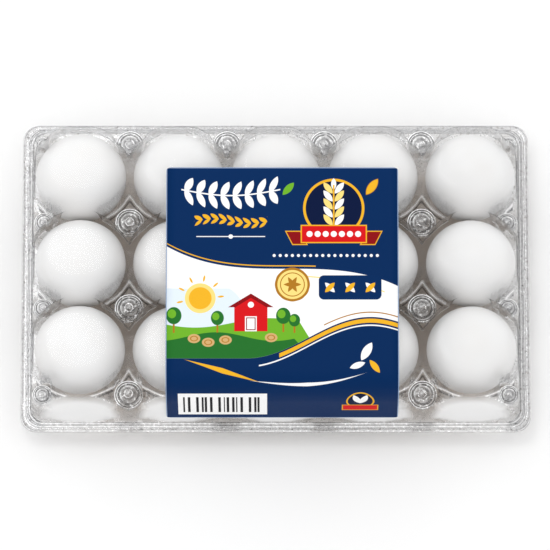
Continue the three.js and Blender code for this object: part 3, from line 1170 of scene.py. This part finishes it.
def paint_front(p):
    """Sprig, swooshes, small emblem and striped panel on the part that folds down."""
    u, v = p.u, p.v
    p.paint(p.leaf(99, 94, 5.2, 2.1, 2.1), WHITE)
    p.paint(p.leaf(94.5, 101, 4.0, 1.5, 2.8), WHITE)
    p.paint(p.leaf(103, 101.5, 4.0, 1.5, 0.9), GOLD)
    swoosh = v - (109 - (u - 46) * 0.10 + ((u - 46) * 0.055).sine() * 4.0)
    p.paint(abs(swoosh) - 1.0 + abs(u - 70) * 0.036, WHITE)
    swoosh = v - (108.5 - (44 - u) * 0.30)
    p.paint(abs(swoosh) - 1.3 + abs(u - 28) * 0.07, GOLD)
    p.paint(p.oval(96, 124, 7.0, 8.5), GOLD)
    p.paint(p.oval(96, 124, 6.2, 7.6), DEEP)
    p.paint(p.leaf(94.3, 122, 4.6, 1.7, 1.2), WHITE)
    p.paint(p.leaf(97.7, 122, 4.6, 1.7, -1.2), WHITE)
    p.paint(p.block(96, 132, 9.0, 3.6), GOLD)
    p.paint(p.block(96, 132, 8.5, 3.0), RED)
    p.paint(p.block(28, 129, 22, 12.5), WHITE)
    stripes = ((u * 2.9).sine() + (u * 1.7 + 0.6).sine()).over(0.15)
    bars = p.block(28, 129, 19.5, 9.5).clamped(-1 / PRINT_SOFTNESS, 0.5) * stripes
    p.ink = p.s.blend(bars, p.ink, BAR_BLACK)


def label_material(colours, width, length):
    """Printed paper, white underneath. The print is measured from its left and its back edge."""
    s = Shading("label_print")
    place = s.split(s.node("ShaderNodeUVMap", {"uv_map": "UVMap"}).outputs[0])
    u = place[0] * width
    v = (1 - place[1]) * length
    navy = (*colours.navy, 1)
    darker = (*(c * 0.92 for c in colours.navy), 1)
    p = Print(s, u, v, s.blend((v / length).clamped(), navy, darker))
    band, upper, lower = paint_band(p)
    paint_farm(p, band)
    paint_band_lines(p, upper, lower)
    paint_badges(p, navy)
    paint_emblem(p)
    paint_garland(p)
    paint_front(p)
    rim = (abs(u - width / 2) - (width / 2 - 0.45)).most(abs(v - length / 2) - (length / 2 - 0.45))
    p.paint(-rim, RIM_BLUE)
    p.ink = s.blend(s.attribute("under").over(0.5), p.ink, UNDERSIDE)
    fibre = s.noise(700.0, 2.0)
    body = s.node(
        "ShaderNodeBsdfPrincipled", Roughness=0.5 + 0.1 * fibre, Normal=s.bump(fibre, 0.05, 0.0002)
    )
    s.put(body.inputs["Base Color"], p.ink)
    body.inputs["Specular IOR Level"].default_value = 0.06
    return s.finish(body)


def label_mesh(at, y, z, out_y, out_z, length):
    """Points, faces and UVs of the label: its printed side, then its underside."""
    edge = np.minimum(at, length - at)
    depth = np.clip(LABEL_CORNER**2 - (LABEL_CORNER - edge) ** 2, 0, None)
    half = LABEL_HALF - np.where(edge < LABEL_CORNER, LABEL_CORNER - np.sqrt(depth), 0)
    points = []
    for lift in (LABEL_TOP, LABEL_UNDER):
        for i in range(LABEL_PARTS + 1):
            x = LABEL_X + (i / LABEL_PARTS * 2 - 1) * half
            points.append(np.stack([x, y + out_y * lift, z + out_z * lift], axis=-1))
    points = np.concatenate(points)
    n, m = LABEL_PARTS + 1, len(at)
    faces = grid_faces(n, m, flip=True) + grid_faces(n, m, n * m)
    grid = np.arange(n * m).reshape(n, m)
    border = [*grid[:-1, 0], *grid[-1, :-1], *grid[:0:-1, -1], *grid[0, :0:-1]]
    for a, b in zip(border, border[1:] + border[:1]):
        faces.append((b, a, a + n * m, b + n * m))
    u = (points[:, 0] - LABEL_X) / (2 * LABEL_HALF) + 0.5
    v = 1 - np.tile(at / length, 2 * n)
    return points, faces, np.stack([u, v], axis=-1)


class CARTON_OT_label(bpy.types.Operator):
    """Lay the printed label over the lid's top and down its front"""

    bl_idname = "carton.label"
    bl_label = "Lay the label"

    def execute(self, context):
        path = label_path()
        length = path[-1]
        points, faces, uvs = label_mesh(*path)
        material = label_material(context.scene.carton_colours, 2 * LABEL_HALF, length)
        piece = mesh_piece("label_strip", points, faces, material, uvs=uvs)
        keep_values(piece, "under", np.repeat([0.0, 1.0], len(points) // 2))
        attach(piece, "lid")
        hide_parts("label")
        return {"FINISHED"}


# Stage: places and sizes in metres, but its lens, sensor and floor in millimetres
CAMERA_DISTANCE = 2.9
CAMERA_ELEVATION = math.radians(75.5)
CAMERA_TARGET = Vector((-0.0003, -0.0025, 0.031))
CAMERA_LENS = 380.0
CAMERA_SENSOR = 36.0
KEY_PLACE = Vector((-0.32, 0.34, 1.8))
KEY_SIZE = 0.55
KEY_POWER = 5.6
FLOOR_HALF = 4000.0


def floor_material(colours):
    s = Shading("studio_floor")
    tone = s.noise(3.0, 2.0)
    body = s.node("ShaderNodeBsdfPrincipled", Roughness=0.8 + 0.1 * tone)
    pale = (*colours.floor, 1)
    darker = (*(c * 0.98 for c in colours.floor), 1)
    s.put(body.inputs["Base Color"], s.blend(tone * 0.2, pale, darker))
    return s.finish(body)


def key_light(scene):
    """A square light behind and above the carton, aimed at the middle of its base."""
    lamp = bpy.data.lights.new("key", "AREA")
    lamp.shape = "RECTANGLE"
    lamp.size = KEY_SIZE
    lamp.size_y = KEY_SIZE
    lamp.energy = KEY_POWER
    light = bpy.data.objects.new("key", lamp)
    light.location = KEY_PLACE
    light.rotation_euler = (-KEY_PLACE).to_track_quat("-Z", "Y").to_euler()
    scene.collection.objects.link(light)


def studio_world(scene, strength):
    """Soft light from all round, with brighter and darker panels."""
    scene.world = scene.world or bpy.data.worlds.new("studio")
    s = Shading("studio", scene.world)
    across, along, _ = s.split(s.node("ShaderNodeTexCoord").outputs["Generated"])
    panels = (across * 7 + 1).sine() * (along * 6 + 0.6).sine() * 0.5 + 0.5
    light = s.node("ShaderNodeBackground", Strength=strength)
    s.put(light.inputs["Color"], s.blend(panels, (0.6, 0.6, 0.6, 1), (1.4, 1.4, 1.4, 1)))
    s.finish(light)


def studio_camera(scene):
    """A far camera with a long lens that looks down from the front."""
    lens = bpy.data.cameras.new("camera")
    lens.lens = CAMERA_LENS
    lens.sensor_width = CAMERA_SENSOR
    lens.clip_end = 20.0
    camera = bpy.data.objects.new("camera", lens)
    offset = Vector((0, -math.cos(CAMERA_ELEVATION), math.sin(CAMERA_ELEVATION)))
    camera.location = CAMERA_TARGET + offset * CAMERA_DISTANCE
    camera.rotation_euler = (math.pi / 2 - CAMERA_ELEVATION, 0, 0)
    scene.collection.objects.link(camera)
    return camera


class CARTON_OT_stage(bpy.types.Operator):
    """Set up the pale floor, the soft studio light and the camera"""

    bl_idname = "carton.stage"
    bl_label = "Set the stage"

    def execute(self, context):
        colours = context.scene.carton_colours
        half = FLOOR_HALF
        corners = [(-half, -half, 0), (half, -half, 0), (half, half, 0), (-half, half, 0)]
        floor = mesh_piece("floor", corners, [(0, 1, 2, 3)], floor_material(colours), smooth=False)
        key_light(context.scene)
        studio_world(context.scene, colours.studio_light)
        context.scene.view_settings.view_transform = "Standard"
        context.scene.camera = studio_camera(context.scene)
        return {"FINISHED"}


class CARTON_PT_panel(bpy.types.Panel):
    """Lists the steps of the carton"""

    bl_idname = "CARTON_PT_panel"
    bl_label = "Clear egg carton"
    bl_space_type = "VIEW_3D"
    bl_region_type = "UI"
    bl_category = "Carton"

    def draw(self, context):
        for group in (context.scene.carton_sizes, context.scene.carton_colours):
            for key in group.__annotations__:
                self.layout.prop(group, key)
        for step in STEPS:
            self.layout.operator(step.bl_idname)


STEPS = (CARTON_OT_tray, CARTON_OT_eggs, CARTON_OT_lid, CARTON_OT_label, CARTON_OT_stage)
GROUPS = (CartonSizes, CartonColours)


def register():
    for cls in (*GROUPS, *STEPS, CARTON_PT_panel):
        bpy.utils.register_class(cls)
    bpy.types.Scene.carton_sizes = PointerProperty(type=CartonSizes)
    bpy.types.Scene.carton_colours = PointerProperty(type=CartonColours)


def unregister():
    del bpy.types.Scene.carton_sizes
    del bpy.types.Scene.carton_colours
    for cls in (CARTON_PT_panel, *reversed(STEPS), *reversed(GROUPS)):
        bpy.utils.unregister_class(cls)


def main():
    register()
    bpy.ops.carton.tray()
    bpy.ops.carton.eggs()
    bpy.ops.carton.lid()
    bpy.ops.carton.label()
    bpy.ops.carton.stage()


if __name__ == "__main__":
    main()
